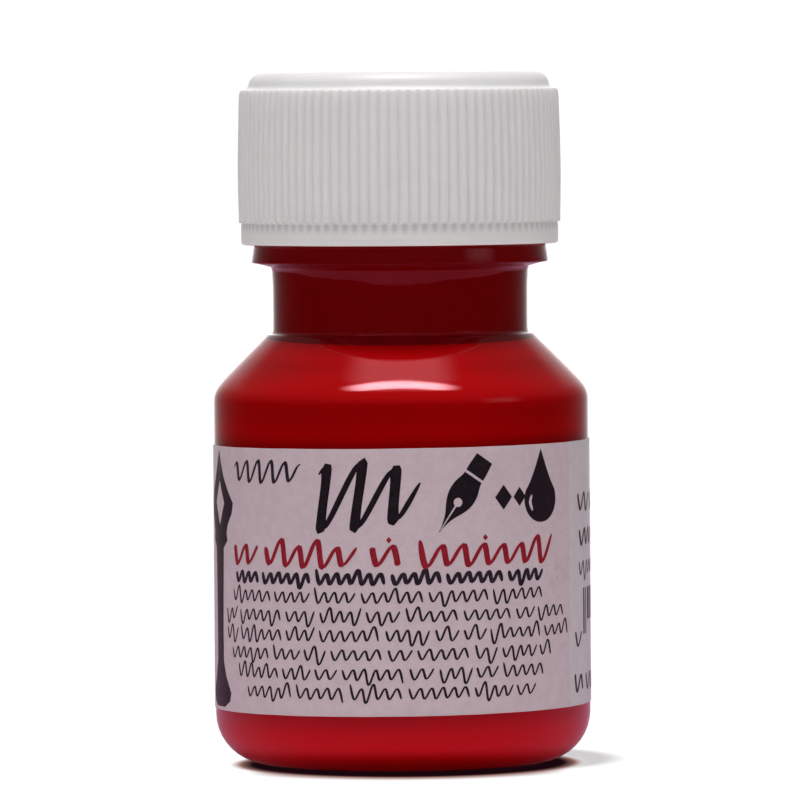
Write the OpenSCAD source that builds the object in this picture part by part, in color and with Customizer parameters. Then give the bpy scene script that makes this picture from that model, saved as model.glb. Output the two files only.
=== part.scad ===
// Ink bottle of about 30 ml: a clear moulded bottle with a threaded neck and a
// support bead, the ink that fills it, a wrap-around label, and a one-piece
// ribbed screw cap with a sealing liner.
// Millimetres, +Z up. The origin is the centre of the plane the bottle stands
// on. The front of the label faces -Y and its two ends meet at +Y.
// The thread is right handed: the cap turns anticlockwise, seen from above, to
// come off, and rises by one pitch for each turn.

/* [Bottle body] */
// Outside diameter of the body
body_d = 34.94; // [33:0.02:40]
// Height at which the straight wall ends and the shoulder begins
wall_top_z = 33.7; // [33:0.1:45]
// Radius of the rounded heel
heel_round = 4.66; // [3:0.02:5]
// Radius between the straight wall and the 45 degree shoulder
shoulder_round = 2.6; // [1:0.1:3.4]
// Wall thickness of the body
wall = 1.45; // [1:0.05:1.8]
// Depth of the dished underside
base_dish = 0.9; // [0.3:0.1:1.5]

/* [Neck] */
// Outside diameter of the bare neck, between shoulder and bead
neck_d = 23.8; // [23:0.1:24.6]
// Height of the bare neck, from the shoulder to the bead's lower edge
neck_h = 6.9; // [4:0.1:12]
// Diameter of the support bead at its lower edge
bead_d = 27.7; // [27.2:0.1:29]
// Height of the bead's flank
bead_h = 1.58; // [1.2:0.02:3]
// Diameter of the threaded finish, without its thread
finish_d = 24.9; // [24.8:0.02:25]
// Height of the finish, from the top of the bead to the mouth
finish_h = 13.75; // [13.5:0.05:18]
// Diameter of the bore through the neck
bore_d = 21.2; // [18:0.1:21.6]

/* [Thread] */
// Lead of the single-start thread, six turns to the inch
pitch = 4.233; // [3.2:0.001:4.5]
// Turns of thread on the neck and in the cap
turns = 1.5; // [1:0.25:1.5]
// Diameter over the neck's thread
thread_d = 27.2; // [26.6:0.1:27.3]

/* [Cap] */
// Diameter over the grip ribs
cap_d = 30.1; // [29.8:0.1:32]
// Depth of the grip ribs
rib_h = 0.4; // [0.2:0.05:0.45]
// Number of grip ribs around the cap
ribs = 100; // [60:2:120]
// Height of the smooth band below the ribs
band_h = 1.8; // [1:0.1:3]
// Thickness of the cap's top
cap_top = 1.3; // [1:0.1:2.5]
// Radius of the cap's rounded top edge
cap_round = 1.4; // [0.8:0.1:1.6]
// Thickness of the sealing liner
liner_t = 0.95; // [0.5:0.05:1.5]

/* [Label] */
// Height of the label's lower edge
label_z = 5.4; // [5:0.1:8]
// Height of the label
label_h = 24.5; // [10:0.5:25]
// Thickness of the label
label_t = 0.08; // [0.06:0.01:0.2]
// Gap between the label's two ends at the back
label_gap = 3; // [1:0.5:20]

/* [Ink] */
// Distance from the mouth down to the ink
headspace = 23.3; // [4:0.1:26]

/* [Hidden] */
$fn = 96;

// bottle, outside
body_r = body_d / 2;
neck_r = neck_d / 2;
bead_r = bead_d / 2;
finish_r = finish_d / 2;
bore_r = bore_d / 2;
ledge_round = 0.75;
c45 = cos(45);
cone_r = body_r - shoulder_round * (1 - c45);
cone_z = wall_top_z + shoulder_round * c45;
ledge_r = neck_r + 0.32;
cone_end_r = ledge_r + ledge_round * c45;
cone_end_z = cone_z + cone_r - cone_end_r;
neck_z = cone_end_z + ledge_round * (1 - c45);
bead_z = neck_z + neck_h;
bead_top_z = bead_z + bead_h;
mouth_z = bead_top_z + finish_h;

// bottle, inside
floor_z = base_dish + 1.8;
in_r = body_r - wall;
in_heel = heel_round - wall;
in_round = max(0.6, shoulder_round - wall);
in_cone_r = in_r - in_round * (1 - c45);
in_cone_z = wall_top_z - wall * tan(22.5) + in_round * c45;
in_cone_end_z = in_cone_z + in_cone_r - bore_r;

// cap and liner
seal_gap = 0.05;
cap_z = bead_top_z + 0.1;
liner_z = mouth_z + seal_gap;
cap_in_z = liner_z + liner_t + seal_gap;
cap_z2 = cap_in_z + cap_top;
cap_r = cap_d / 2;
cap_core_r = cap_r - rib_h;
band_r = cap_core_r + 0.1;
top_r = cap_core_r - 0.4;
cap_in_r = thread_d / 2 + 0.2;
rib_z = cap_z + band_h;
rib_z2 = cap_z2 - cap_round - 0.2;

// thread: a ridge of half width 1.15 on the neck's wall and 0.45 at its crest
male_root = 1.15;
male_crest = 0.45;
male_slope = (male_root - male_crest) / (thread_d / 2 - finish_r);
male_z = mouth_z - 2.15 - turns * pitch;
// the cap's ridge runs just below the neck's, ready to bear on its underside
female_crest_r = finish_r + 0.3;
female_crest = 0.4;
female_root = 1.0;
female_slope = (female_root - female_crest) / (cap_in_r - female_crest_r);
flank_gap = 0.15;
female_drop = male_root - male_slope * (female_crest_r - finish_r)
    + female_crest + flank_gap;

// points on an arc about (r, z)
function arc(r, z, rad, a0, a1, n) =
    [for (i = [0:n]) let (a = a0 + (a1 - a0) * i / n)
        [r + rad * cos(a), z + rad * sin(a)]];
// height of a helix of this lead that passes z0 at the angle 0
function helix_z(a, z0) = z0 + pitch * a / 360;
// how far a thread has risen to its full depth, near either end
function runout(i, n, k) = min(1, (i + 0.35) / k, (n - i + 0.35) / k);

// One thread ridge, swept along its helix from the angle a0 for a number of
// turns. base_r is under the wall's surface, crest_r at the ridge's crest, and
// w_base and w_crest are the half widths there. At the run-outs the crest
// sinks back towards flush_r.
module ridge(z0, a0, t, base_r, flush_r, crest_r, w_base, w_crest) {
    per = 30;
    n = round(t * per);
    pts = [for (i = [0:n])
        let (a = a0 + 360 * i / per, z = helix_z(a - a0, z0),
             f = runout(i, n, 4), cr = flush_r + (crest_r - flush_r) * f)
        for (q = [[base_r, -w_base], [cr, -w_crest], [cr, w_crest],
                  [base_r, w_base]])
            [q[0] * cos(a), q[0] * sin(a), z + q[1]]];
    outward = crest_r > base_r;
    tri = concat(
        [[0, 1, 2], [0, 2, 3]],
        [for (i = [0:n - 1]) for (j = [0:3]) for (h = [0, 1])
            let (p = 4 * i + j, q = 4 * i + (j + 1) % 4)
            h == 0 ? [p, p + 4, q] : [q, p + 4, q + 4]],
        [[4 * n, 4 * n + 2, 4 * n + 1], [4 * n, 4 * n + 3, 4 * n + 2]]);
    polyhedron(pts, outward ? [for (t = tri) [t[0], t[2], t[1]]] : tri,
               convexity = 10);
}

// the bottle's cavity, up to past the mouth
module cavity_section(top) {
    polygon(concat(
        [[0, floor_z], [in_r - in_heel - 2.5, floor_z - 0.55]],
        arc(in_r - in_heel, floor_z - 0.75 + in_heel, in_heel, -90, 0, 8),
        arc(in_r - in_round, in_cone_z - in_round * c45, in_round, 0, 45, 5),
        [[bore_r, in_cone_end_z], [bore_r, top], [0, top]]));
}

module bottle() {
    color([0.86, 0.90, 0.92, 0.45]) union() {
        difference() {
            rotate_extrude()
            polygon(concat(
                [[0, base_dish], [6.5, base_dish - 0.1], [9.8, 0.1], [10.4, 0]],
                arc(body_r - heel_round, heel_round, heel_round, -90, 0, 10),
                arc(body_r - shoulder_round, wall_top_z, shoulder_round,
                    0, 45, 6),
                arc(ledge_r, cone_end_z - ledge_round * c45, ledge_round,
                    45, 90, 3),
                [[neck_r + 0.15, neck_z], [neck_r, neck_z + 0.15]],
                arc(neck_r + 0.7, bead_z - 0.85, 0.7, 180, 100, 5),
                [[bead_r - 0.1, bead_z - 0.02], [bead_r, bead_z + 0.12],
                 [bead_r - 0.25, bead_top_z - 0.1],
                 [bead_r - 0.35, bead_top_z],
                 [finish_r + 0.2, bead_top_z + 0.08],
                 [finish_r, bead_top_z + 0.3]],
                arc(finish_r - 0.7, mouth_z - 0.7, 0.7, 0, 90, 4),
                [[0, mouth_z]]));
            rotate_extrude() cavity_section(mouth_z + 2);
        }
        ridge(male_z, 20, turns, finish_r - 0.35, finish_r - 0.05,
              thread_d / 2, male_root + male_slope * 0.35, male_crest);
    }
}

module ink() {
    color([0.60, 0.0, 0.02])
    intersection() {
        rotate_extrude() cavity_section(mouth_z - 1);
        cylinder(r = body_r, h = mouth_z - headspace);
    }
}

// The label wraps the straight wall and stops short of meeting at the back.
module label() {
    half = 90 * label_gap / (PI * (body_r + label_t));
    color([0.80, 0.75, 0.78])
    rotate([0, 0, 90 + half])
    rotate_extrude(angle = 360 - 2 * half)
    translate([body_r, label_z])
    square([label_t, label_h]);
}

// Outline of the ribbed grip: rounded ribs with narrow valleys between them.
module rib_outline() {
    w = 360 / ribs;
    polygon([for (i = [0:ribs - 1]) for (q = [[-0.5, 0], [-0.28, 0.82], [0, 1],
                                              [0.28, 0.82]])
        let (a = (i + q[0]) * w, r = cap_core_r + rib_h * q[1])
        [r * cos(a), r * sin(a)]]);
}

module cap() {
    color([0.93, 0.93, 0.93])
    difference() {
        union() {
            rotate_extrude()
            polygon(concat(
                [[0, cap_z], [band_r - 0.15, cap_z], [band_r, cap_z + 0.2],
                 [band_r, rib_z + 0.12], [top_r, rib_z + 0.12]],
                arc(top_r - cap_round, cap_z2 - cap_round, cap_round, 0, 90, 6),
                [[0, cap_z2]]));
            translate([0, 0, rib_z])
            linear_extrude(height = rib_z2 - rib_z)
            rib_outline();
        }
        // the bore, open at the bottom, less the ridge of its thread
        difference() {
            translate([0, 0, cap_z - 1])
            cylinder(r = cap_in_r, h = cap_in_z - cap_z + 1);
            ridge(male_z - female_drop - pitch * 0.25, -70, turns,
                  cap_in_r + 0.35, cap_in_r + 0.05, female_crest_r,
                  female_root + female_slope * 0.35, female_crest);
        }
    }
}

module cap_liner() {
    color([0.97, 0.97, 0.95])
    translate([0, 0, liner_z])
    cylinder(r = cap_in_r - 0.08, h = liner_t);
}

bottle();
ink();
label();
cap();
cap_liner();
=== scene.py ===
import bpy
import math
import random
from mathutils import Matrix, Vector, noise
from mathutils.geometry import delaunay_2d_cdt


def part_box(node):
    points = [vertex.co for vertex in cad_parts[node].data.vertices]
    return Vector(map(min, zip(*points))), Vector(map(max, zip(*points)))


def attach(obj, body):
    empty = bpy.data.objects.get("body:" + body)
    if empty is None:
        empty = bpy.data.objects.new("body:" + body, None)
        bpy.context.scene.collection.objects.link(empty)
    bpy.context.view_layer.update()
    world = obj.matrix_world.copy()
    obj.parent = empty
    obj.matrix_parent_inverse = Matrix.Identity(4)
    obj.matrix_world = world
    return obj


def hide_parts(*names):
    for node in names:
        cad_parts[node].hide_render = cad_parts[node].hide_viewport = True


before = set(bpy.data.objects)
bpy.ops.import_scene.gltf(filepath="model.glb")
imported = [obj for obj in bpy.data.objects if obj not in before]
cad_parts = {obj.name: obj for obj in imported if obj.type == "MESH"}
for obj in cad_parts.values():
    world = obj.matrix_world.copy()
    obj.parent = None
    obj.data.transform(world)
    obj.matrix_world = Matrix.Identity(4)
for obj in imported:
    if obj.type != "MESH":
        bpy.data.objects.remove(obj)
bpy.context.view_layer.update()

# Lengths below are millimetres unless they say otherwise; meshes are written in
# metres, in the frame of the CAD model.
MM = 0.001
TAU = 2 * math.pi

lo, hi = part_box("bottle")
BODY_R = 17.47
MOUTH_Z = hi.z / MM
lo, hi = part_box("label")
LABEL_Z0, LABEL_Z1 = lo.z / MM, hi.z / MM
lo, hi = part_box("cap")
CAP_Z0, CAP_Z1 = lo.z / MM, hi.z / MM
lo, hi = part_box("ink")
INK_Z = hi.z / MM
lo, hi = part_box("cap_liner")
LINER_Z0, LINER_Z1 = lo.z / MM, hi.z / MM
LABEL_R = BODY_R + 0.08

PITCH = 4.233
TURNS = 1.5
MALE_Z = MOUTH_Z - 2.15 - TURNS * PITCH
RIBS = 100


# ---------------------------------------------------------------- mesh helpers


def link(name, verts, faces, mats, smooth=True, sharp=None, face_mats=None):
    """A mesh object in the scene, from millimetre points."""
    me = bpy.data.meshes.new(name)
    me.from_pydata([(x * MM, y * MM, z * MM) for x, y, z in verts], [], faces)
    me.validate()
    for m in mats:
        me.materials.append(m)
    if face_mats:
        me.polygons.foreach_set("material_index", face_mats)
    if smooth:
        me.shade_smooth()
        if sharp:
            me.set_sharp_from_angle(angle=math.radians(sharp))
    me.update()
    ob = bpy.data.objects.new(name, me)
    bpy.context.scene.collection.objects.link(ob)
    return ob


def rounded(corners, step=9.0):
    """The polyline through corners (r, z, radius), each rounded by its radius."""
    out = []
    for i, (r, z, rad) in enumerate(corners):
        p = Vector((r, z))
        if rad <= 0 or i in (0, len(corners) - 1):
            out.append((r, z))
            continue
        a = (Vector(corners[i - 1][:2]) - p).normalized()
        b = (Vector(corners[i + 1][:2]) - p).normalized()
        full = a.angle(b)
        t = rad / math.tan(full / 2)
        c = p + (a + b).normalized() * (rad / math.sin(full / 2))
        u, v = p + a * t - c, p + b * t - c
        turn = math.atan2(u.x * v.y - u.y * v.x, u.dot(v))
        n = max(2, math.ceil(abs(math.degrees(turn)) / step))
        for k in range(n + 1):
            q = turn * k / n
            out.append((c.x + u.x * math.cos(q) - u.y * math.sin(q),
                        c.y + u.x * math.sin(q) + u.y * math.cos(q)))
    return out


def spaced(points, longest):
    """The same polyline with no segment over longest(mid z) long."""
    out = [points[0]]
    for (r0, z0), (r1, z1) in zip(points, points[1:]):
        d = math.hypot(r1 - r0, z1 - z0)
        n = max(1, math.ceil(d / longest((r0 + r1) / 2, (z0 + z1) / 2) - 1e-6))
        for k in range(1, n + 1):
            out.append((r0 + (r1 - r0) * k / n, z0 + (z1 - z0) * k / n))
    return out


def lathe(profile, cols, where=None):
    """Points and faces of a revolved profile. A point with r = 0 becomes a pole.
    where(r, z, angle) may move a point."""
    verts, faces, rings = [], [], []
    for r, z in profile:
        if r < 1e-6:
            rings.append([len(verts)])
            verts.append((0.0, 0.0, z))
            continue
        ring = []
        for j in range(cols):
            a = TAU * j / cols
            rr, zz = where(r, z, a) if where else (r, z)
            ring.append(len(verts))
            verts.append((rr * math.cos(a), rr * math.sin(a), zz))
        rings.append(ring)
    for p, q in zip(rings, rings[1:]):
        for j in range(cols):
            k = (j + 1) % cols
            if len(p) == 1:
                faces.append((p[0], q[k], q[j]))
            elif len(q) == 1:
                faces.append((p[j], p[k], q[0]))
            else:
                faces.append((p[j], p[k], q[k], q[j]))
    return verts, faces


def smooth_step(x):
    x = min(max(x, 0.0), 1.0)
    return x * x * (3 - 2 * x)


def thread_depth(z, a, z0, a0, root, crest, turns=TURNS):
    """How far, from 0 to 1, the ridge stands at height z and angle a. Its middle
    is at z0 at the angle a0 (degrees) and climbs one pitch each turn."""
    best = 0.0
    deg = math.degrees(a) - a0
    deg %= 360
    for k in range(0, int(turns) + 2):
        along = deg + 360 * k
        for t in (along, along - 360):
            if t < 0 or t > turns * 360:
                continue
            dz = abs(z - (z0 + PITCH * t / 360))
            if dz >= root:
                continue
            x = min(1.0, (root - dz) / (root - crest))
            x = 0.55 * x + 0.45 * smooth_step(x)
            steps = t / 12
            f = min(1, (steps + 0.2) / 4, (turns * 30 - steps + 0.2) / 4)
            best = max(best, x * smooth_step(f))
    return best


# ------------------------------------------------------------- node helpers


class Tree:
    """Writes node trees with fewer lines."""

    def __init__(self, tree):
        self.t = tree
        self.t.nodes.clear()

    def add(self, kind, **props):
        n = self.t.nodes.new(kind)
        for k, v in props.items():
            setattr(n, k, v)
        return n

    def put(self, socket, value):
        if isinstance(value, bpy.types.NodeSocket):
            self.t.links.new(value, socket)
        else:
            socket.default_value = value

    def math(self, op, a, b=None, c=None, clamp=False):
        n = self.add("ShaderNodeMath", operation=op, use_clamp=clamp)
        for i, v in enumerate((a, b, c)):
            if v is not None:
                self.put(n.inputs[i], v)
        return n.outputs[0]

    def ramp(self, x, a, b, y0=0.0, y1=1.0, smooth=True):
        """y0 where x is a, y1 where x is b, clamped outside."""
        n = self.add("ShaderNodeMapRange", clamp=True,
                     interpolation_type="SMOOTHSTEP" if smooth else "LINEAR")
        for i, v in enumerate((x, a, b, y0, y1)):
            self.put(n.inputs[i], v)
        return n.outputs[0]

    def noise(self, vec, scale, detail=3.0, rough=0.5, distort=0.0):
        n = self.add("ShaderNodeTexNoise")
        self.put(n.inputs["Vector"], vec)
        self.put(n.inputs["Scale"], scale)
        self.put(n.inputs["Detail"], detail)
        self.put(n.inputs["Roughness"], rough)
        self.put(n.inputs["Distortion"], distort)
        return n.outputs["Fac"]

    def mix(self, fac, a, b):
        n = self.add("ShaderNodeMix", data_type="RGBA")
        self.put(n.inputs["Factor"], fac)
        self.put(n.inputs["A"], a) if False else None
        sockets = [s for s in n.inputs if s.type == "RGBA"]
        self.put(sockets[0], a)
        self.put(sockets[1], b)
        return [s for s in n.outputs if s.type == "RGBA"][0]

    def mm(self):
        """Object coordinates in millimetres."""
        c = self.add("ShaderNodeTexCoord")
        v = self.add("ShaderNodeVectorMath", operation="SCALE")
        self.put(v.inputs[0], c.outputs["Object"])
        v.inputs["Scale"].default_value = 1000.0
        return v.outputs[0]

    def xyz(self, vec):
        n = self.add("ShaderNodeSeparateXYZ")
        self.put(n.inputs[0], vec)
        return n.outputs

    def bump(self, height, distance, strength=1.0):
        """Bump of this height, in metres."""
        n = self.add("ShaderNodeBump")
        n.inputs["Strength"].default_value = strength
        n.inputs["Distance"].default_value = distance
        self.put(n.inputs["Height"], height)
        return n.outputs[0]

    def shader(self, **values):
        n = self.add("ShaderNodeBsdfPrincipled")
        for k, v in values.items():
            self.put(n.inputs[k.replace("_", " ")], v)
        return n

    def finish(self, surface, kind="ShaderNodeOutputMaterial"):
        out = self.add(kind)
        self.t.links.new(surface, out.inputs["Surface"])


def material(name):
    m = bpy.data.materials.new(name)
    m.use_nodes = True
    return m, Tree(m.node_tree)


def rgb(r, g, b):
    """Scene-linear colour from display values 0-255."""
    def f(c):
        c /= 255
        return c / 12.92 if c <= 0.04045 else ((c + 0.055) / 1.055) ** 2.4
    return (f(r), f(g), f(b), 1.0)


# ---------------------------------------------------------------- materials


def make_clear():
    """Clear moulded plastic, with handling haze and a little dust."""
    m, t = material("bottle_clear")
    p = t.mm()
    haze = t.ramp(t.noise(p, 0.22, 4.0, 0.6, 0.6), 0.45, 0.75, 0.012, 0.045)
    fine = t.ramp(t.noise(p, 3.5, 2.0, 0.5), 0.3, 0.8, -0.004, 0.006)
    rough = t.math("ADD", haze, fine)
    wavy = t.noise(p, 0.35, 2.0, 0.45)
    s = t.shader(Base_Color=(0.985, 0.975, 0.98, 1), Transmission_Weight=1.0,
                 IOR=1.55, Roughness=rough,
                 Specular_Tint=(1.0, 0.45, 0.52, 1),
                 Normal=t.bump(wavy, 0.0000025, 0.5))
    path = t.add("ShaderNodeLightPath")
    see = t.add("ShaderNodeBsdfTransparent")
    see.inputs[0].default_value = (0.93, 0.92, 0.925, 1)
    a = t.add("ShaderNodeMixShader")
    t.put(a.inputs[0], path.outputs["Is Diffuse Ray"])
    t.put(a.inputs[1], s.outputs[0])
    t.put(a.inputs[2], see.outputs[0])
    b = t.add("ShaderNodeMixShader")
    t.put(b.inputs[0], path.outputs["Is Shadow Ray"])
    t.put(b.inputs[1], a.outputs[0])
    t.put(b.inputs[2], see.outputs[0])
    t.finish(b.outputs[0])
    return m


def make_ink():
    """Opaque pigmented ink against the clear wall."""
    m, t = material("ink_red")
    p = t.mm()
    cloud = t.noise(p, 0.09, 3.0, 0.55, 0.3)
    col = t.mix(t.ramp(cloud, 0.35, 0.68), (0.355, 0.0, 0.0004, 1),
                (0.385, 0.0, 0.0008, 1))
    z = t.xyz(p)[2]
    # painted light: the ink is made lighter in bands above the label, near the heel and
    # just under its level, standing in for light that reaches it there
    painted_light_bands = t.math("ADD", t.ramp(z, 33.0, 30.6, 0.0, 0.35),
                  t.math("ADD", t.ramp(z, 5.0, 2.2, 0.0, 0.70),
                         t.math("ADD", t.ramp(z, 33.4, 35.0, 0.0, 0.32),
                                t.ramp(z, 36.4, 37.8, 0.0, 0.55))))
    col = t.mix(painted_light_bands, col, (0.76, 0.0, 0.0020, 1))
    # painted light: lighter again at the foot of the heel
    col = t.mix(t.ramp(z, 3.3, 2.3), col, (0.90, 0.0, 0.0030, 1))
    s = t.shader(Base_Color=col, IOR=1.33, Specular_IOR_Level=0.02,
                 Roughness=t.ramp(cloud, 0.3, 0.7, 0.55, 0.65))
    t.finish(s.outputs[0])
    return m


def make_ink_top():
    """The wet surface of the ink, and its film on the bore."""
    m, t = material("ink_wet")
    p = t.mm()
    cloud = t.noise(p, 0.5, 3.0, 0.55, 0.3)
    col = t.mix(t.ramp(cloud, 0.35, 0.68), (0.33, 0.0, 0.002, 1),
                (0.42, 0.002, 0.006, 1))
    s = t.shader(Base_Color=col, IOR=1.36,
                 Roughness=t.ramp(cloud, 0.3, 0.7, 0.04, 0.09))
    t.finish(s.outputs[0])
    return m


def make_film():
    """A thin dried film of the ink; its colour, darker than the ink's, also paints the
    shade in the neck under the cap.
    """
    m, t = material("ink_film")
    p = t.mm()
    runs = t.add("ShaderNodeMapping")
    runs.inputs["Scale"].default_value = (1.0, 1.0, 0.22)
    t.put(runs.inputs["Vector"], p)
    cloud = t.noise(runs.outputs[0], 0.5, 4.0, 0.55, 0.3)
    # painted shade: this dark red stands for the shade in the neck under the cap
    col = t.mix(t.ramp(cloud, 0.32, 0.70), (0.200, 0.0, 0.0006, 1),
                (0.215, 0.0, 0.0012, 1))
    s = t.shader(Base_Color=col, IOR=1.40, Specular_IOR_Level=0.02,
                 Roughness=t.ramp(cloud, 0.3, 0.7, 0.25, 0.40))
    t.finish(s.outputs[0])
    return m


def make_label():
    """A coated film label with a pinkish-grey panel and a paler side panel."""
    m, t = material("label_paper")
    p = t.mm()
    x, y, z = t.xyz(p)[:3]
    ang = t.math("ARCTAN2", x, t.math("MULTIPLY", y, -1.0))
    side = t.ramp(ang, math.radians(61.6), math.radians(61.95), smooth=False)
    mottle = t.noise(p, 0.9, 4.0, 0.65)
    grain = t.noise(p, 5.5, 2.0, 0.6)
    tone = t.math("MULTIPLY_ADD", grain, 0.45, t.math("MULTIPLY", mottle, 0.55))
    pink = t.mix(t.ramp(tone, 0.36, 0.64), (0.640, 0.500, 0.560, 1),
                 (0.700, 0.560, 0.620, 1))
    pale = t.mix(t.ramp(tone, 0.36, 0.64), (0.640, 0.575, 0.620, 1),
                 (0.700, 0.640, 0.680, 1))
    col = t.mix(side, pink, pale)
    # a scuff near the right end of the red line
    dx = t.math("SUBTRACT", x, 14.35)
    dz = t.math("SUBTRACT", z, 18.0)
    d = t.math("SQRT", t.math("ADD", t.math("MULTIPLY", dx, dx),
                              t.math("MULTIPLY", dz, dz)))
    front = t.ramp(y, -3.0, -5.0)
    spot = t.math("MULTIPLY", t.ramp(d, 1.9, 0.2), t.ramp(
        t.noise(p, 1.7, 3.0, 0.7, 0.5), 0.50, 0.68))
    spot = t.math("MULTIPLY", t.math("MULTIPLY", spot, front), 0.30)
    dirt = t.math("MULTIPLY", t.ramp(t.noise(p, 1.25, 3.0, 0.75), 0.70, 0.80),
                  0.10)
    col = t.mix(t.math("MAXIMUM", spot, dirt), col, (0.26, 0.19, 0.17, 1))
    rough = t.ramp(t.noise(p, 0.5, 3.0, 0.6), 0.3, 0.7, 0.30, 0.42)
    s = t.shader(Base_Color=col, Roughness=rough, IOR=1.48,
                 Specular_IOR_Level=0.4,
                 Normal=t.bump(tone, 0.000012, 0.5))
    t.finish(s.outputs[0])
    return m


def make_print(name, dark, light, gloss):
    """Printing ink on the label, a little uneven."""
    m, t = material(name)
    p = t.mm()
    tone = t.noise(p, 2.6, 4.0, 0.65)
    col = t.mix(t.ramp(tone, 0.38, 0.66), dark, light)
    s = t.shader(Base_Color=col, IOR=1.48, Specular_IOR_Level=0.35,
                 Roughness=t.ramp(tone, 0.3, 0.7, gloss, gloss + 0.12),
                 Normal=t.bump(tone, 0.000006, 0.5))
    t.finish(s.outputs[0])
    return m


def make_cap():
    """Semi-matt white polypropylene."""
    m, t = material("cap_white")
    p = t.mm()
    flow = t.noise(p, 0.16, 3.0, 0.5, 0.8)
    grain = t.noise(p, 7.0, 3.0, 0.6)
    grime = t.math("MULTIPLY", t.ramp(t.noise(p, 0.8, 4.0, 0.7), 0.62, 0.80), 0.35)
    col = t.mix(t.ramp(flow, 0.35, 0.65), (0.925, 0.912, 0.919, 1),
                (0.945, 0.933, 0.940, 1))
    col = t.mix(grime, col, (0.80, 0.78, 0.775, 1))
    x, y, z = t.xyz(p)[:3]
    turn = t.math("COSINE", t.math("MULTIPLY", t.math("ARCTAN2", y, x), RIBS))
    ribbed = t.math("MULTIPLY", t.ramp(z, CAP_Z0 + 2.0, CAP_Z0 + 2.3),
                    t.ramp(z, 62.7, 61.9))
    # painted shade: darker in the valleys between the ribs
    valley = t.math("MULTIPLY", t.ramp(turn, -0.6, 1.0), ribbed)
    col = t.mix(t.math("MULTIPLY", valley, 0.5), col, (0.83, 0.81, 0.83, 1))
    # painted shadow: dark notches on the band below the rib ends, where the ribs cast
    # their shadows
    under = t.math("MULTIPLY", t.ramp(z, CAP_Z0 + 0.95, CAP_Z0 + 1.75),
                   t.ramp(z, CAP_Z0 + 2.3, CAP_Z0 + 2.0))
    under = t.math("MULTIPLY", under, t.ramp(turn, 0.8, -0.8, 0.25, 1.0))
    col = t.mix(t.math("MULTIPLY", under, 0.5), col, (0.60, 0.55, 0.57, 1))
    # dried ink along the rim that faces the bottle, and painted shade on the cap's
    # underside there
    stain_and_shade = t.math("MULTIPLY", t.ramp(z, CAP_Z0 + 0.07, CAP_Z0 + 0.02),
                   t.ramp(t.noise(p, 0.5, 3.0, 0.6), 0.2, 0.4, 0.6, 0.95))
    col = t.mix(stain_and_shade, col, (0.34, 0.012, 0.020, 1))
    s = t.shader(Base_Color=col, IOR=1.49, Specular_IOR_Level=0.45,
                 Roughness=t.ramp(flow, 0.3, 0.7, 0.34, 0.44),
                 Subsurface_Weight=0.4,
                 Subsurface_Radius=(1.0, 0.9, 0.85), Subsurface_Scale=0.0006,
                 Normal=t.bump(grain, 0.000008, 0.5))
    t.finish(s.outputs[0])
    return m


def make_liner():
    """Closed-cell foam."""
    m, t = material("liner_foam")
    p = t.mm()
    v = t.add("ShaderNodeTexVoronoi")
    t.put(v.inputs["Vector"], p)
    v.inputs["Scale"].default_value = 5.0
    cell = v.outputs["Distance"]
    col = t.mix(t.ramp(cell, 0.1, 0.6), (0.86, 0.855, 0.83, 1),
                (0.74, 0.735, 0.71, 1))
    s = t.shader(Base_Color=col, Roughness=t.ramp(cell, 0.0, 0.7, 0.55, 0.75),
                 Subsurface_Weight=0.2, Subsurface_Radius=(1.0, 0.9, 0.8),
                 Subsurface_Scale=0.0008, Normal=t.bump(cell, 0.00005, 0.6))
    t.finish(s.outputs[0])
    return m


def make_floor():
    m, t = material("floor_white")
    p = t.mm()
    tone = t.noise(p, 0.01, 3.0, 0.5)
    col = t.mix(t.ramp(tone, 0.3, 0.7), (0.79, 0.785, 0.78, 1),
                (0.82, 0.815, 0.81, 1))
    # the contact shadow, thrown a little forward, and a weak one to the right
    at = t.xyz(p)

    def away(cx, cy, wide=1.0):
        dx, dy = t.math("SUBTRACT", at[0], cx), t.math("SUBTRACT", at[1], cy)
        dx = t.math("MULTIPLY", dx, wide)
        return t.math("SQRT", t.math("ADD", t.math("MULTIPLY", dx, dx),
                                     t.math("MULTIPLY", dy, dy)))

    d = away(0.4, -3.1, 1.06)
    edge = t.ramp(at[1], -10.0, -18.5, 17.8, 21.0)
    seen = t.mix(t.ramp(d, 15.2, 17.2), (0.010, 0.002, 0.004, 1),
                 (0.34, 0.17, 0.15, 1))
    seen = t.mix(t.ramp(d, 16.3, edge), seen, (1.0, 0.998, 0.998, 1))
    weak = t.math("MULTIPLY", t.ramp(away(3.0, 1.2), 15.4, 18.4, 0.50, 0.0),
                  t.ramp(d, 16.3, 18.0))
    seen = t.mix(weak, seen, (0.22, 0.19, 0.20, 1))
    path = t.add("ShaderNodeLightPath")
    direct = t.math("MAXIMUM", path.outputs["Is Camera Ray"],
                    path.outputs["Is Transmission Ray"])
    # painted reflection: mirrors see the floor dark near the bottle, a painted shadow,
    # and violet further out, which paints the violet reflections on the neck and heel
    mirror = t.math("SUBTRACT", path.outputs["Is Glossy Ray"],
                    path.outputs["Is Transmission Ray"], clamp=True)
    shown = t.mix(t.ramp(d, 11.0, 15.5), (0.02, 0.002, 0.004, 1),
                  (0.47, 0.23, 0.36, 1))
    s = t.shader(Base_Color=t.mix(mirror, col, shown), Roughness=0.7,
                 Specular_IOR_Level=0.2)
    bright = t.add("ShaderNodeEmission")
    t.put(bright.inputs[0], seen)
    bright.inputs[1].default_value = 1.04
    both = t.add("ShaderNodeMixShader")
    t.put(both.inputs[0], direct)
    t.put(both.inputs[1], s.outputs[0])
    t.put(both.inputs[2], bright.outputs[0])
    t.finish(both.outputs[0])
    m.cycles.emission_sampling = "NONE"
    return m



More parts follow.
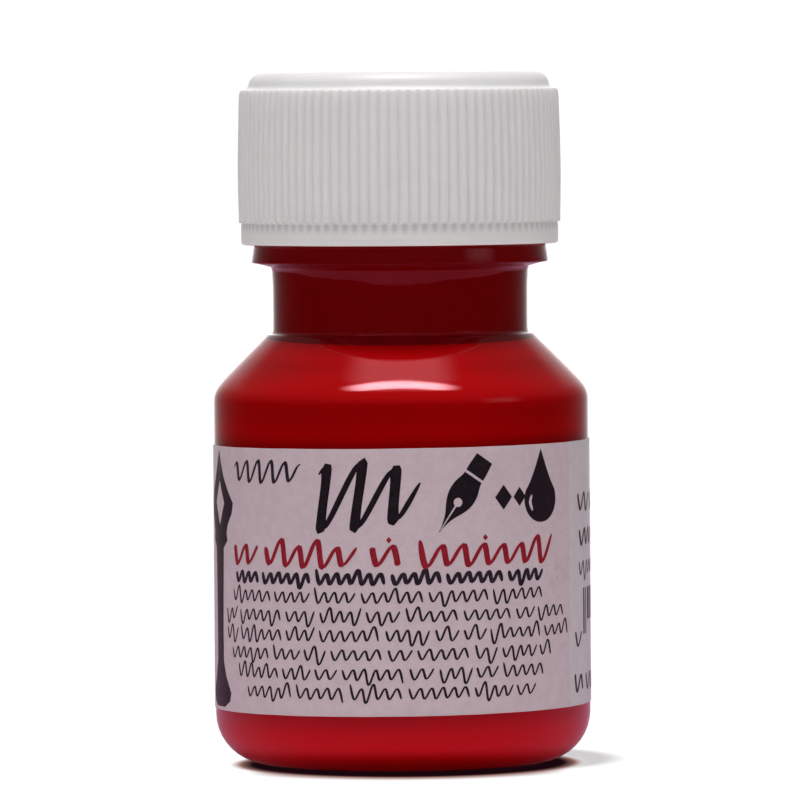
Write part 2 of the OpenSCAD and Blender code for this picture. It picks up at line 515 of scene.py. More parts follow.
CLEAR, INK, INK_TOP = make_clear(), make_ink(), make_ink_top()
FILM = make_film()
PAPER = make_label()
BLACK = make_print("print_black", rgb(14, 9, 14), rgb(27, 20, 28), 0.36)
FINE = make_print("print_fine", rgb(26, 18, 28), rgb(48, 36, 48), 0.36)
RED = make_print("print_red", (0.27, 0.0, 0.012, 1), (0.36, 0.002, 0.022, 1), 0.36)
WHITE, FOAM = make_cap(), make_liner()


# ---------------------------------------------------------------- the bottle

def turning(r, z, bends):
    """A convex curve from (r, z) up. Each bend is the normal's elevation at its
    start and at its end, in degrees, and its length."""
    out = [(r, z)]
    for n0, n1, length in bends:
        k = max(2, math.ceil(abs(n1 - n0) / 3), math.ceil(length / 0.5))
        for i in range(k):
            a = math.radians(n0 + (n1 - n0) * (i + 0.5) / k)
            r -= math.sin(a) * length / k
            z += math.cos(a) * length / k
            out.append((r, z))
    return out


# The outside, from the middle of the underside up: points r, z, rounding. The
# shoulder is moulded with a soft turn into its cone, so it is drawn by its slope.
HEEL = [(0, 0.90, 0), (6.8, 0.85, 3.0), (9.9, 0.0, 1.2), (BODY_R, 0.0, 4.66),
        (BODY_R, 20.0, 0)]
SHOULDER = turning(BODY_R, 33.70, [
    (0, 38, 1.625), (38, 44.3, 1.165), (44.3, 45.7, 4.70)])
NECK = [SHOULDER[-1] + (0,), (12.52, 39.76, 0.28), (12.33, 39.95, 0.22),
        (11.88, 39.95, 0.42), (11.87, 42.0, 4.0), (11.88, 44.4, 4.0),
        (11.97, 46.10, 0.42), (13.85, 46.60, 0.13), (13.62, 48.20, 0.15),
        (12.60, 48.22, 0.2), (12.45, 49.0, 0.3)]
LIP = [(12.45, MOUTH_Z, 0.7), (10.60, MOUTH_Z, 0.45)]
INSIDE = [(10.60, 39.596, 1.0), (16.02, 34.176, 1.15), (16.02, 1.95, 3.21),
          (10.6, 2.10, 5.0), (0, 2.70, 0)]


def shell_step(r, z):
    if 48.3 < z < MOUTH_Z - 0.8 and r > 12.0:
        return 0.14
    if r < 9:
        return 1.6
    return 0.9 if z > 39 else 1.4


def shell_where(r, z, a):
    if abs(r - 12.45) < 0.004 and 49.2 < z < MOUTH_Z - 0.7:
        d = thread_depth(z, a, MALE_Z, 20, 1.13, 0.44)
        return r + 1.14 * d, z
    return r, z


profile = rounded(HEEL) + SHOULDER + rounded(NECK + LIP + INSIDE)[1:]
verts, faces = lathe(spaced(profile, shell_step), 192, shell_where)
bottle_shell = link("bottle_shell", verts, faces, [CLEAR], sharp=50)
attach(bottle_shell, "bottle")
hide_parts("bottle")

# ------------------------------------------------------------------- the ink

SINK = 0.03  # how far the ink's skin reaches into the wall around it


CAVITY = rounded([
    (0, 2.70, 0), (10.6, 2.10, 5.0), (16.02, 1.95, 3.21), (16.02, 34.176, 1.15),
    (10.60, 39.596, 1.0), (10.60, MOUTH_Z - 1.0, 0)])


def film_top(a):
    """How high the dried film of ink reaches up the bore at the angle a."""
    v = noise.noise(Vector((1.3 * math.cos(a), 1.3 * math.sin(a), 3.7)))
    w = noise.noise(Vector((5.0 * math.cos(a), 5.0 * math.sin(a), 9.1)))
    return 57.2 + 3.0 * v + 1.2 * w


def outward(path, i):
    a, b = path[max(0, i - 1)], path[min(len(path) - 1, i + 1)]
    d = math.hypot(b[0] - a[0], b[1] - a[1])
    return (b[1] - a[1]) / d, -(b[0] - a[0]) / d


def ink_parts():
    """The ink up to its level, with a meniscus, and the film above it."""
    path = spaced(CAVITY, lambda r, z: 1.4 if z < 36 else 0.8)
    wall = []
    for i, (r, z) in enumerate(path):
        if z > INK_Z - 0.05:
            break
        nx, nz = outward(path, i) if i else (0.0, -1.0)
        wall.append((max(0.0, r + nx * SINK), z + nz * SINK))
    edge = path[i][0] + (path[i][1] - INK_Z)
    wall.append((edge + 0.02, INK_Z + 0.03))
    top = [(edge - 0.10, INK_Z + 0.06), (edge - 0.35, INK_Z + 0.0),
           (edge - 0.8, INK_Z - 0.10), (edge - 1.5, INK_Z - 0.16),
           (7.0, INK_Z - 0.18), (4.0, INK_Z - 0.18), (1.5, INK_Z - 0.18),
           (0, INK_Z - 0.18)]
    verts, faces = lathe(wall + top, 144)
    level = 1 + 144 * (len(wall) - 1)
    mats = [1 if min(f) >= level - 144 and max(f) >= level + 144 else 0
            for f in faces]
    # the film: up the wall on one side, back down on the other
    span = [(p, outward(path, j)) for j, p in enumerate(path)
            if INK_Z - 0.5 < p[1] < 59.0]
    out = [(p[0] + n[0] * SINK, p[1] + n[1] * SINK) for p, n in span]
    back = [(p[0] - n[0] * 0.05, p[1] - n[1] * 0.05) for p, n in span]
    ring = out + back[::-1]
    cols, base = 144, len(verts)
    for r, z in ring:
        for j in range(cols):
            a = TAU * j / cols
            zz = z if z < 44 else 44 + (z - 44) * (film_top(a) - 44) / 14.9
            verts.append((r * math.cos(a), r * math.sin(a), zz))
    n = len(ring)
    for i in range(n):
        p, q = base + i * cols, base + (i + 1) % n * cols
        for j in range(cols):
            k = (j + 1) % cols
            faces.append((p + j, p + k, q + k, q + j))
            mats.append(2)
    return verts, faces, mats


verts, faces, mats = ink_parts()
ink_fill = link("ink_fill", verts, faces, [INK, INK_TOP, FILM], sharp=60,
                face_mats=mats)
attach(ink_fill, "bottle")
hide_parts("ink")

# ----------------------------------------------------------------- the label

SKEW = 0.0073
HALF = math.pi * LABEL_R - 1.5  # half its length round the bottle


def wrap(s, z, r):
    """The place of a point of the label, s along it from its middle."""
    a = s / LABEL_R
    return (r * math.sin(a), -r * math.cos(a), z + SKEW * s)


def label_lift(s):
    """The two ends stand off the wall a little."""
    e = HALF - abs(s)
    return 0.05 * (1 - smooth_step(e / 1.6))


def make_label_mesh():
    n, rows = 420, [0, 0.06, 0.5, 2.0] + [2.0 + 20.5 * k / 8 for k in range(1, 9)]
    rows += [LABEL_Z1 - LABEL_Z0 - 0.5, LABEL_Z1 - LABEL_Z0 - 0.06,
             LABEL_Z1 - LABEL_Z0]
    height = LABEL_Z1 - LABEL_Z0
    rows = sorted(set(min(r, height) for r in rows))
    m = len(rows)
    verts, faces = [], []
    for side in (0, 1):
        for i in range(n + 1):
            s = -HALF + 2 * HALF * i / n
            # cut by a worn die: the edges aren't quite straight
            for r in rows:
                edge = 0.02 * noise.noise(Vector((s * 0.35, r, 2.0)))
                rad = (BODY_R + 0.006 if side == 0 else LABEL_R) + label_lift(s)
                inset = 0.0
                if side == 1 and (r in (rows[0], rows[-1]) or i in (0, n)):
                    rad -= 0.012
                verts.append(wrap(s, LABEL_Z0 + r + edge, rad - inset))
    def at(side, i, k):
        return side * (n + 1) * m + i * m + k
    for i in range(n):
        for k in range(m - 1):
            faces.append((at(1, i, k), at(1, i + 1, k), at(1, i + 1, k + 1),
                          at(1, i, k + 1)))
            faces.append((at(0, i, k), at(0, i, k + 1), at(0, i + 1, k + 1),
                          at(0, i + 1, k)))
        faces.append((at(0, i, 0), at(0, i + 1, 0), at(1, i + 1, 0), at(1, i, 0)))
        faces.append((at(0, i, m - 1), at(1, i, m - 1), at(1, i + 1, m - 1),
                      at(0, i + 1, m - 1)))
    for k in range(m - 1):
        faces.append((at(0, 0, k), at(1, 0, k), at(1, 0, k + 1), at(0, 0, k + 1)))
        faces.append((at(0, n, k), at(0, n, k + 1), at(1, n, k + 1), at(1, n, k)))
    return verts, faces


verts, faces = make_label_mesh()
label_wrap = link("label_wrap", verts, faces, [PAPER], sharp=40)
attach(label_wrap, "bottle")
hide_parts("label")


# --------------------------------------------------------------- the printing
# Everything printed is an ornament: pen strokes, waves, diamonds and drops.


class Art:
    """Flat shapes in label coordinates (s, z), made into one thin closed skin."""

    def __init__(self):
        self.pts, self.loops, self.hole = [], [], []

    def shape(self, points, hole=False):
        k = len(self.pts)
        if area(points) < 0:
            points = points[::-1]
        self.pts += [Vector(p) for p in points]
        self.loops.append(list(range(k, k + len(points))))
        self.hole.append(hole)

    def stroke(self, path, width, hole=False):
        """A pen stroke along path; width(i, direction) gives its breadth."""
        n = len(path)
        left, right = [], []
        for i in range(n):
            a, b = Vector(path[max(0, i - 1)]), Vector(path[min(n - 1, i + 1)])
            d = (b - a).normalized()
            w = width(i / (n - 1), d) / 2
            nrm = Vector((-d.y, d.x))
            p = Vector(path[i])
            left.append(p + nrm * w)
            right.append(p - nrm * w)
        for i in range(n - 1):
            piece = hull([right[i], right[i + 1], left[i + 1], left[i]])
            if len(piece) > 2 and abs(area(piece)) > 1e-6:
                self.shape(piece, hole)

    def skin(self, name, mat, out, step=0.5, under=0.01):
        pts, loops = [], []
        for loop in self.loops:
            new, n = [], len(loop)
            for i in range(n):
                a, b = self.pts[loop[i]], self.pts[loop[(i + 1) % n]]
                cuts = max(1, math.ceil(abs(a.x - b.x) / step))
                for c in range(cuts):
                    new.append(len(pts))
                    pts.append(a.lerp(b, c / cuts))
            loops.append(new)
        xs, ys = [p.x for p in pts], [p.y for p in pts]
        x = min(xs)
        while x < max(xs):
            y = min(ys)
            while y < max(ys):
                pts.append(Vector((x + 0.013, y + 0.017)))
                y += 1.1
            x += step
        v, _, f, _, _, of = delaunay_2d_cdt(pts, [], loops, 1, 1e-5, True)
        keep = []
        for tri, owners in zip(f, of):
            if not owners or any(self.hole[o] for o in owners):
                continue
            keep.append(tuple(tri))
        edges = {}
        for t in keep:
            for i in range(len(t)):
                edges[(t[i], t[(i + 1) % len(t)])] = True
        used = sorted({i for t in keep for i in t})
        place = {i: k for k, i in enumerate(used)}
        n = len(used)
        verts = [wrap(v[i].x, v[i].y, LABEL_R + out) for i in used]
        verts += [wrap(v[i].x, v[i].y, LABEL_R - under) for i in used]
        faces = []
        flip = keep and area([v[i] for i in keep[0]]) < 0
        for t in keep:
            t = t[::-1] if flip else t
            faces.append(tuple(place[i] for i in t))
            faces.append(tuple(place[i] + n for i in t[::-1]))
        for a, b in edges:
            if (b, a) not in edges:
                if flip:
                    a, b = b, a
                a, b = place[a], place[b]
                faces.append((b, a, a + n, b + n))
        ob = link(name, verts, faces, [mat], sharp=40)
        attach(ob, "bottle")
        return ob


def hull(points):
    """The convex outline of a few points, anticlockwise."""
    pts = sorted((p[0], p[1]) for p in points)

    def half(seq):
        out = []
        for p in seq:
            while len(out) > 1 and ((out[-1][0] - out[-2][0]) * (p[1] - out[-2][1])
                                    - (out[-1][1] - out[-2][1])
                                    * (p[0] - out[-2][0])) <= 1e-9:
                out.pop()
            out.append(p)
        return out[:-1]
    return half(pts) + half(pts[::-1])


def area(p):
    return 0.5 * sum(p[i][0] * p[(i + 1) % len(p)][1]
                     - p[(i + 1) % len(p)][0] * p[i][1] for i in range(len(p)))


def spline(points, per=8, closed=True):
    """Catmull-Rom through points."""
    n, out = len(points), []
    for i in range(n if closed else n - 1):
        if closed:
            p = [Vector(points[(i + k) % n]) for k in (-1, 0, 1, 2)]
        else:
            p = [Vector(points[min(max(i + k, 0), n - 1)]) for k in (-1, 0, 1, 2)]
        for k in range(per):
            t = k / per
            out.append(0.5 * (2 * p[1] + (p[2] - p[0]) * t
                              + (2 * p[0] - 5 * p[1] + 4 * p[2] - p[3]) * t * t
                              + (3 * p[1] - p[0] - 3 * p[2] + p[3]) * t ** 3))
    if not closed:
        out.append(Vector(points[-1]))
    return out


def broad(pen, thin, thick, taper=0.08):
    """Breadth of a stroke by an edged pen held at the angle pen (degrees)."""
    e = Vector((math.cos(math.radians(pen)), math.sin(math.radians(pen))))

    def width(t, d):
        w = thin + (thick - thin) * abs(d.x * e.y - d.y * e.x) ** 1.3
        end = min(1, t / taper, (1 - t) / taper) if taper else 1
        return w * (0.25 + 0.75 * math.sqrt(max(0.0, end)))
    return width


def wave(s0, s1, z, amp, period, slant=0.25, per=22, phase=0.0, fade=None):
    """A wavy line of pen strokes."""
    n = max(8, int((s1 - s0) / period * per))
    out = []
    for i in range(n + 1):
        t = i / n
        s = s0 + (s1 - s0) * t
        a = amp * (fade(t) if fade else 1)
        h = a * math.sin(TAU * (s - s0) / period + phase)
        out.append((s + slant * h, z + h))
    return out


def diamond(s, z, w, h):
    return [(s - w, z), (s, z - h), (s + w, z), (s, z + h)]


def turned(points, at, degrees):
    c, q = math.cos(math.radians(degrees)), math.sin(math.radians(degrees))
    return [(at[0] + x * c - y * q, at[1] + x * q + y * c) for x, y in points]


def circle(s, z, r, n=28):
    return [(s + r * math.cos(TAU * i / n), z + r * math.sin(TAU * i / n))
            for i in range(n)]


def drop(s, z, r, top, n=30):
    """A falling drop: a round foot of radius r about (s, z) and a tip at top."""
    pts = []
    for i in range(n + 1):
        a = math.radians(-205 + 230 * i / n)
        pts.append((s + r * math.cos(a), z + r * math.sin(a)))
    right = pts[-1]
    left = pts[0]
    for k in (1, 2, 3, 4):
        t = k / 5
        pts.append((right[0] + (s - right[0]) * t ** 0.8,
                    right[1] + (top - right[1]) * t))
    pts.append((s, top))
    for k in (4, 3, 2, 1):
        t = k / 5
        pts.append((left[0] + (s - left[0]) * t ** 0.8,
                    left[1] + (top - left[1]) * t))
    return pts


rng = random.Random(7)


def scribble(art, s0, s1, z, height, breadth, seed, density=1.0, tall=0.32):
    """Stands in for a line of small print: groups of short slanting pen waves
    with gaps between them, and no letter shapes."""
    r = random.Random(seed)
    s = s0
    while s < s1 - 1.0:
        length = min(s1 - s, r.choice([2.2, 3.1, 4.0, 4.9, 5.8]) * density)
        if s1 - (s + length) < 1.2:
            length = s1 - s
        n = max(2, round(length / (0.52 * height)))
        pts = []
        for k in range(n + 1):
            up = k % 2 == 0
            h = 0.5 * height * r.uniform(0.82, 1.06)
            if r.random() < tall * 0.5:
                h += height * r.uniform(0.30, 0.48)
            pts.append((s + length * k / n + (0.10 if up else -0.05) * height,
                        z + (h if up else -h)))
        path = spline(pts, 7, closed=False)
        art.stroke(path, broad(20, breadth * 0.55, breadth * 1.15, 0.04))
        s += length + height * r.uniform(0.42, 0.6)


def ornament():
    """Black: the bold ornaments of the front."""
    art = Art()
    # the large wave that the nib has drawn
    fade = lambda t: 0.80 + 0.24 * math.sin(math.pi * min(1, t * 1.25) + 0.25)
    path = wave(-8.5, 1.3, 25.55, 2.95, 3.32, 0.34, 34, 0.9, fade)
    tail = [(1.55, 23.4), (2.1, 22.62), (2.9, 22.42)]
    path = [Vector(p) for p in path if p[0] < 2.0]
    art.stroke(path, broad(38, 0.20, 1.34, 0.05))
    # the nib and its holder
    half = [(0, 0), (0.9, 0.16), (1.8, 0.44), (2.7, 0.92), (3.4, 1.22),
            (4.1, 1.34), (4.9, 1.28), (5.6, 1.06), (6.1, 0.98), (6.8, 1.0),
            (8.1, 0.92), (8.15, 0.0)]
    right = spline(half[:-1], 5, closed=False)
    pts = [tuple(p) for p in right] + [(p[0], -p[1]) for p in reversed(right[1:])]
    at, deg = (3.35, 22.1), 56
    art.shape(turned(pts, at, deg))
    art.shape(turned([(0.35, -0.045), (3.0, -0.085), (3.0, 0.085),
                      (0.35, 0.045)], at, deg), True)
    art.shape(turned(circle(3.35, 0, 0.42), at, deg), True)
    art.shape(turned([(6.05, -1.2), (6.3, -1.2), (6.3, 1.2), (6.05, 1.2)],
                     at, deg), True)
    # two small diamonds and an ink drop
    art.shape(diamond(9.85, 25.2, 0.92, 1.15))
    art.shape(diamond(11.65, 25.2, 0.70, 0.88))
    art.shape(drop(14.35, 24.85, 2.12, 29.5))
    art.stroke(spline([(13.15, 25.3), (12.95, 24.6), (13.25, 23.8)], 6, False),
               lambda t, d: 0.34 * math.sqrt(max(0.02, 1 - (2 * t - 1) ** 2)), True)
    # a dip pen standing at the left edge
    c = -22.75
    half = [(0, 29.55), (0.55, 28.4), (1.25, 27.2), (2.35, 25.9), (3.55, 24.7),
            (3.25, 23.7), (2.35, 22.7), (2.05, 21.9), (2.25, 21.2), (1.25, 20.5),
            (1.15, 17.5), (1.0, 13.0), (1.05, 10.0), (1.7, 8.6), (2.9, 7.1),
            (2.6, 6.3), (1.3, 5.75)]
    art.shape([(c + x, z) for x, z in half]
              + [(c - x, z) for x, z in reversed(half[1:])])
    art.shape(diamond(c + 0.15, 24.65, 1.35, 2.1), True)
    art.shape([(c + 0.09, 26.2), (c + 0.12, 28.9), (c + 0.02, 28.9),
               (c - 0.02, 26.2)], True)
    return art.skin("print_ornament", BLACK, 0.012)


def red_line():
    """Red: a line of edged-pen flourishes."""
    art = Art()
    groups = [(-19.0, -15.3, 2), (-14.2, -4.4, 5), (-3.0, -0.2, 1), (1.4, 15.6, 7)]
    r = random.Random(11)
    for s0, s1, n in groups:
        knots = []
        step = 1.02
        count = max(3, round((s1 - s0) / step))
        for k in range(count + 1):
            up = k % 2 == 0
            base = 0.84 * r.uniform(0.9, 1.08)
            if r.random() < 0.25:
                base += 0.62 if up else 0.26
            knots.append((s0 + (s1 - s0) * k / count + (0.24 if up else -0.18),
                          20.08 + (base if up else -base)))
        art.stroke(spline(knots, 9, closed=False), broad(28, 0.17, 0.60, 0.03))
    art.shape(diamond(-1.2, 21.55, 0.26, 0.3))
    art.shape(diamond(7.9, 21.6, 0.26, 0.3))
    return art.skin("print_red", RED, 0.012)


def small_lines():
    """Near-black: the fine lines of the front and of the sides."""
    art = Art()
    art.stroke(wave(-18.9, -9.9, 27.75, 0.92, 1.72, 0.22, 26, 0.4,
                    lambda t: 0.75 + 0.35 * math.sin(math.pi * t)),
               broad(35, 0.16, 0.42, 0.05))
    scribble(art, -18.6, 14.4, 18.0, 1.0, 0.37, 21, 1.15, 0.16)
    spans = [(-19.2, 14.4), (-22.3 + 1.6, 17.6), (-20.6, 18.4), (-19.5, 15.6),
             (-18.3, 14.5), (-16.8, 13.4)]
    for k, (a, b) in enumerate(spans):
        scribble(art, a, b, 16.30 - 1.765 * k, 1.0, 0.205, 30 + k, 1.0, 0.26)
    # the right-hand panel: heavier scribbles and plain bars
    scribble(art, 20.7, 33.0, 24.2, 1.62, 0.36, 51, 1.2, 0.1)
    scribble(art, 21.1, 34.0, 20.95, 1.62, 0.36, 52, 1.2, 0.1)
    scribble(art, 21.0, 31.0, 18.05, 1.25, 0.22, 53, 1.2, 0.1)
    s = 22.3
    for k, w in enumerate([0.42, 0.28, 0.7, 0.3, 0.5, 0.28, 0.75, 0.4, 0.28, 0.55,
                           0.3, 0.7, 0.42, 0.28, 0.5, 0.3]):
        foot = 11.9 if k in (0, 1, 8, 15) else 13.2
        art.shape([(s, foot), (s + w, foot), (s + w, 16.2), (s, 16.2)])
        s += w + (0.34, 0.5, 0.3)[k % 3]
    scribble(art, 20.0, 21.6, 11.6, 1.4, 0.3, 54, 1.0, 0.0)
    scribble(art, 19.8, 27.5, 7.5, 1.6, 0.34, 55, 1.0, 0.1)
    # the back: blocks of fine lines on both sides of the seam
    for k in range(9):
        scribble(art, 36.5, 51.0 - (k % 3) * 1.1, 26.6 - 2.15 * k, 0.95, 0.2,
                 70 + k)
    for k in range(10):
        scribble(art, -50.5, -31.5 - (k % 4) * 0.9, 27.0 - 2.1 * k, 0.95, 0.2,
                 90 + k)
    return art.skin("print_lines", FINE, 0.011)


print_parts = [ornament(), red_line(), small_lines()]


# ------------------------------------------------------------------- the cap

RIB = 0.27
FRACS = [-0.5, -0.44, -0.33, -0.17, 0.0, 0.17, 0.33, 0.44]
HEIGHTS = [0.0, 0.20, 0.66, 0.94, 1.0, 0.94, 0.66, 0.20]
COLS = RIBS * len(FRACS)
INNER = 200


def rib_depth(z):
    """Radius over the ribs at height z."""
    if z > 55.2:
        return 15.05 - 0.18 * ((z - 55.2) / 7.4) ** 1.4
    return 15.05 - 0.08 * ((55.2 - z) / 5.0) ** 1.5


def cap_rings():
    """Rows of the outside, from the bottom edge to the middle of the top: a
    radius in the valleys, a height, and a rib height."""
    rows = [(14.02, CAP_Z0, 0), (14.55, CAP_Z0, 0), (14.70, CAP_Z0 + 0.05, 0),
            (14.77, CAP_Z0 + 0.18, 0), (14.78, CAP_Z0 + 0.8, 0),
            (14.77, CAP_Z0 + 1.5, 0), (14.76, CAP_Z0 + 1.86, 0),
            (14.71, CAP_Z0 + 1.97, 0)]
    z = CAP_Z0 + 2.02
    v = rib_depth(z) - RIB
    rows.append((v, z, 0.0))
    for dz, f in ((0.012, 0.93), (0.05, 1.0)):
        rows.append((rib_depth(z + dz) - RIB, z + dz, RIB * f))
    top = 62.72
    for k in range(1, 12):
        zz = z + 0.05 + (top - 0.62 - z - 0.05) * k / 11
        rows.append((rib_depth(zz) - RIB, zz, RIB))
    for dz, f, back in ((0.48, 0.985, 0), (0.34, 0.93, 0), (0.20, 0.80, 0.005),
                        (0.09, 0.58, 0.01), (0.025, 0.30, 0.02)):
        rows.append((rib_depth(top) - RIB - back, top - dz, RIB * f))
    rows.append((14.48, top, 0.0))
    rows.append((14.34, top + 0.03, 0.0))
    rows.append((14.20, top + 0.10, 0.0))
    rows.append((14.09, top + 0.22, 0.0))
    c, round_r = (14.02 - 1.38, CAP_Z1 - 1.38), 1.38
    for k in range(1, 11):
        a = math.radians(90 * k / 10)
        rows.append((c[0] + round_r * math.cos(a), c[1] + round_r * math.sin(a), 0))
    for r in (12.2, 11.2, 9.5, 7.0, 4.5):
        rows.append((r, CAP_Z1 - 0.012 * (1 - r / 12.7), 0))
    return rows


def stitch(faces, big, small):
    """Joins a ring to one with a whole fraction of its points."""
    n, m = len(big), len(small)
    k = n // m
    for j in range(m):
        a, b = small[j], small[(j + 1) % m]
        mid = j * k + k // 2
        for i in range(j * k, (j + 1) * k):
            p, q = big[i % n], big[(i + 1) % n]
            faces.append((p, q, a) if i < mid else (p, q, b))
        faces.append((a, big[mid % n], b))


def make_cap_mesh():
    verts, faces, rings = [], [], []
    rows = cap_rings()
    for r, z, h in rows:
        ring = []
        for i in range(RIBS):
            for f, g in zip(FRACS, HEIGHTS):
                a = TAU * (i + f + 0.5) / RIBS
                q = r + h * g
                ring.append(len(verts))
                verts.append((q * math.cos(a), q * math.sin(a), z))
        rings.append(ring)
    for p, q in zip(rings, rings[1:]):
        for j in range(COLS):
            k = (j + 1) % COLS
            faces.append((p[j], p[k], q[k], q[j]))
    # the middle of the top: fewer columns, and the mark left by the gate
    def ring_at(r, z, n):
        ring = list(range(len(verts), len(verts) + n))
        for j in range(n):
            a = TAU * (j / n) + 0.0
            verts.append((r * math.cos(a), r * math.sin(a), z))
        return ring
    mid = [(4.2, 0.006), (3.0, 0.005), (2.2, 0.005), (1.75, 0.0), (1.62, -0.05),
           (1.45, -0.09), (1.1, -0.09), (0.72, -0.085), (0.62, -0.05),
           (0.5, 0.0), (0.35, 0.015), (0.15, 0.03)]
    last = rings[-1]
    first = True
    for r, dz in mid:
        ring = ring_at(r, CAP_Z1 - 0.012 + dz, 100)
        if first:
            stitch(faces, last, ring)
            first = False
        else:
            for j in range(100):
                k = (j + 1) % 100
                faces.append((last[j], last[k], ring[k], ring[j]))
        last = ring
    pole = len(verts)
    verts.append((0, 0, CAP_Z1 + 0.02))
    for j in range(100):
        faces.append((last[j], last[(j + 1) % 100], pole))
    # the inside, from the bottom edge up, with the thread
    drop_z = 1.517 + PITCH * 0.25
    z0 = MALE_Z - drop_z
    ceil = LINER_Z1 + 0.05
    rows = [(13.90, CAP_Z0 + 0.03), (13.82, CAP_Z0 + 0.12)]
    z = CAP_Z0 + 0.3
    while z < ceil - 0.5:
        rows.append((13.80, z))
        z += 0.16
    rows += [(13.80, ceil - 0.3), (13.76, ceil - 0.12), (13.64, ceil - 0.02),
             (13.4, ceil), (12.0, ceil), (10.0, ceil), (7.0, ceil), (4.0, ceil),
             (1.5, ceil)]
    inner = []
    for r, z in rows:
        ring = []
        for j in range(INNER):
            a = TAU * j / INNER
            q = r
            if abs(r - 13.80) < 1e-6:
                q -= 1.03 * thread_depth(z, a, z0, -70, 0.98, 0.39)
            ring.append(len(verts))
            verts.append((q * math.cos(a), q * math.sin(a), z))
        inner.append(ring)
    for p, q in zip(inner, inner[1:]):
        for j in range(INNER):
            k = (j + 1) % INNER
            faces.append((p[k], p[j], q[j], q[k]))
    pole = len(verts)
    verts.append((0, 0, ceil))
    for j in range(INNER):
        faces.append((inner[-1][(j + 1) % INNER], inner[-1][j], pole))
    # bottom face: the outer ring of 800 down to the inner ring of 200
    big, small = rings[0], inner[0]
    n, m = len(big), len(small)
    k = n // m
    for j in range(m):
        a, b = small[j], small[(j + 1) % m]
        half = j * k + k // 2
        for i in range(j * k, (j + 1) * k):
            p, q = big[i % n], big[(i + 1) % n]
            faces.append((q, p, a) if i < half else (q, p, b))
        faces.append((a, b, big[half % n]))
    return verts, faces


verts, faces = make_cap_mesh()
cap_shell = link("cap_shell", verts, faces, [WHITE], sharp=60)
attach(cap_shell, "cap")
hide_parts("cap")

# ----------------------------------------------------------------- the liner

liner_profile = rounded([
    (0, LINER_Z0, 0), (10.4, LINER_Z0, 0.3), (10.75, LINER_Z0 + 0.09, 0.3),
    (12.2, LINER_Z0 + 0.09, 0.3), (12.55, LINER_Z0, 0.3),
    (13.70, LINER_Z0, 0.18), (13.70, LINER_Z1, 0.18), (0, LINER_Z1, 0)])
verts, faces = lathe(spaced(liner_profile, lambda r, z: 1.6), 160)
liner_disc = link("liner_disc", verts, faces, [FOAM], sharp=60)
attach(liner_disc, "liner")
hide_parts("cap_liner")


# ----------------------------------------------------------------- the stage

rings = [0, 20, 40, 80, 160, 260, 380]
verts, faces = lathe([(r, -0.001 if r else -0.001) for r in rings], 96)
floor = link("floor", verts, [tuple(reversed(f)) for f in faces], [make_floor()])


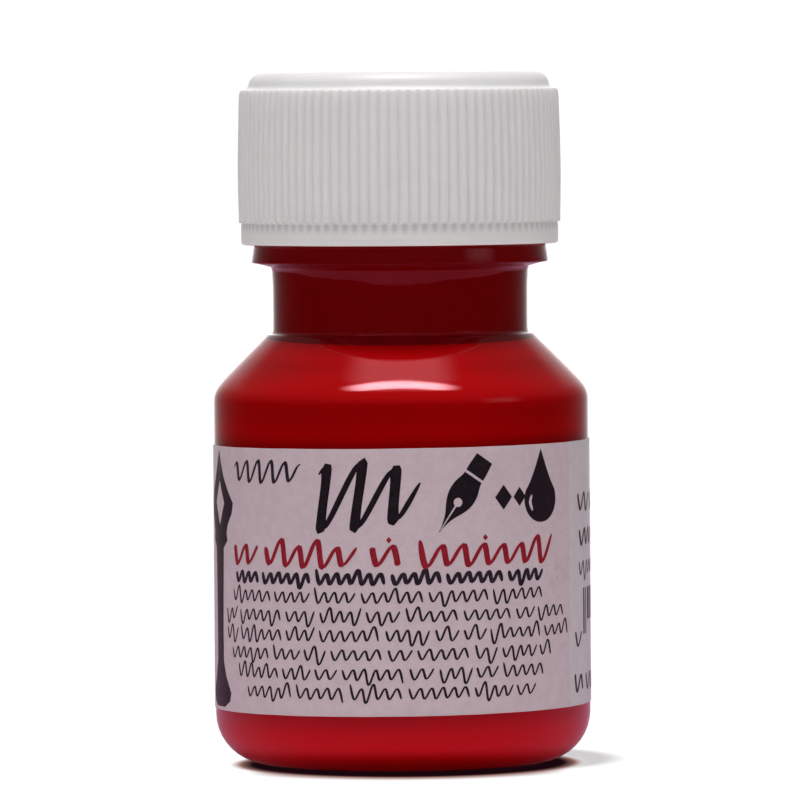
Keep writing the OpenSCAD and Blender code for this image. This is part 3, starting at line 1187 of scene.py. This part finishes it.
def make_world():
    w = bpy.data.worlds.new("studio")
    w.use_nodes = True
    bpy.context.scene.world = w
    t = Tree(w.node_tree)
    d = t.add("ShaderNodeTexCoord").outputs["Generated"]
    x, y, z = t.xyz(d)[:3]
    ax = t.math("ABSOLUTE", x)
    # the soft box overhead, a little in front, and its weaker surround
    lamp = t.math("MULTIPLY", t.ramp(ax, 0.42, 0.20),
                  t.math("MULTIPLY", t.ramp(y, -0.262, -0.215),
                         t.ramp(y, -0.060, -0.125)))
    lamp = t.math("MULTIPLY", t.math("MULTIPLY", lamp, t.ramp(z, 0.5, 0.6)), 21.0)
    over = t.math("MULTIPLY", t.ramp(ax, 0.37, 0.18),
                  t.math("MULTIPLY", t.ramp(y, -0.42, -0.28), t.ramp(y, 0.62, 0.3)))
    over = t.math("MULTIPLY", over, t.ramp(z, 0.3, 0.6))
    over = t.math("MULTIPLY", over, 1.5)
    # the bright background behind the object, seen at the rims
    az = t.math("ARCTAN2", ax, y)
    glow = t.math("EXPONENT", t.math("MULTIPLY", az, -4.2))
    glow = t.math("MULTIPLY", glow, t.ramp(z, 0.56, 0.36))
    glow = t.math("MULTIPLY", glow, t.ramp(z, -0.40, -0.25))
    glow = t.math("MULTIPLY", glow, 2.2)
    # a weak soft light to the right
    wa = t.math("ARCTAN2", x, t.math("MULTIPLY", y, -1.0))
    win = t.math("MULTIPLY", t.ramp(wa, math.radians(48), math.radians(64)),
                 t.ramp(wa, math.radians(84), math.radians(70)))
    win = t.math("MULTIPLY", win, t.math("MULTIPLY", t.ramp(z, 0.08, 0.24),
                                         t.ramp(z, 0.50, 0.34)))
    win = t.math("MULTIPLY", win, 0.6)
    shared = t.math("ADD", t.math("ADD", lamp, over), t.math("ADD", glow, win))
    # what mirrors see of the room, and what lights the matt surfaces
    room = t.ramp(z, 0.02, 0.6, 0.010, 0.12)
    ahead = t.math("POWER", t.math("MAXIMUM", t.math("MULTIPLY", y, -1.0), 0.0), 3.0)
    fill = t.math("ADD", t.ramp(z, -0.1, 0.5, 0.04, 0.20),
                  t.math("MULTIPLY", ahead, 0.42))
    fill = t.math("MULTIPLY", fill, t.ramp(x, -0.3, 0.8, 1.05, 0.55))
    fill = t.math("ADD", fill, t.math("MULTIPLY", glow, t.ramp(x, -0.1, -0.7, 0.0, 0.9)))

    def background(strength, colour):
        b = t.add("ShaderNodeBackground")
        b.inputs[0].default_value = colour
        t.put(b.inputs[1], strength)
        return b.outputs[0]

    def either(fac, a, b):
        m = t.add("ShaderNodeMixShader")
        t.put(m.inputs[0], fac)
        t.put(m.inputs[1], a)
        t.put(m.inputs[2], b)
        return m.outputs[0]

    path = t.add("ShaderNodeLightPath")
    tint = (1.0, 0.985, 0.98, 1)
    lit = either(path.outputs["Is Glossy Ray"],
                 background(t.math("ADD", shared, fill), tint),
                 background(t.math("ADD", shared, room), tint))
    fac = t.math("MAXIMUM", path.outputs["Is Camera Ray"],
                 path.outputs["Is Transmission Ray"])
    plain = background(1.04, (1.0, 1.0, 1.0, 1))
    t.finish(either(fac, lit, plain), "ShaderNodeOutputWorld")
    w.cycles.sampling_method = "MANUAL"
    w.cycles.sample_map_resolution = 2048
    return w


make_world()

scene = bpy.context.scene
scene.view_settings.view_transform = "Standard"
scene.view_settings.look = "None"
scene.view_settings.exposure = 0.0
scene.view_settings.gamma = 1.0
scene.cycles.caustics_refractive = False
scene.cycles.caustics_reflective = False
scene.cycles.blur_glossy = 0.5
scene.cycles.sample_clamp_indirect = 6.0

# ---------------------------------------------------------------- the camera

cam = bpy.data.cameras.new("camera")
cam.sensor_width = 36.0
cam.lens = 8670 / 800 * 36.0
cam.clip_start, cam.clip_end = 0.05, 20.0
cam_ob = bpy.data.objects.new("camera", cam)
scene.collection.objects.link(cam_ob)
eye = Vector((0.0, -0.808, 0.0634))
aim = Vector((0.0, 0.0, 0.0337))
rot = (aim - eye).to_track_quat("-Z", "Y").to_matrix().to_4x4()
rot = rot @ Matrix.Rotation(math.radians(-0.43), 4, "Z")
cam_ob.matrix_world = Matrix.Translation(eye) @ rot
cam.shift_x = -0.9 / 800
scene.camera = cam_ob

bpy.context.view_layer.update()
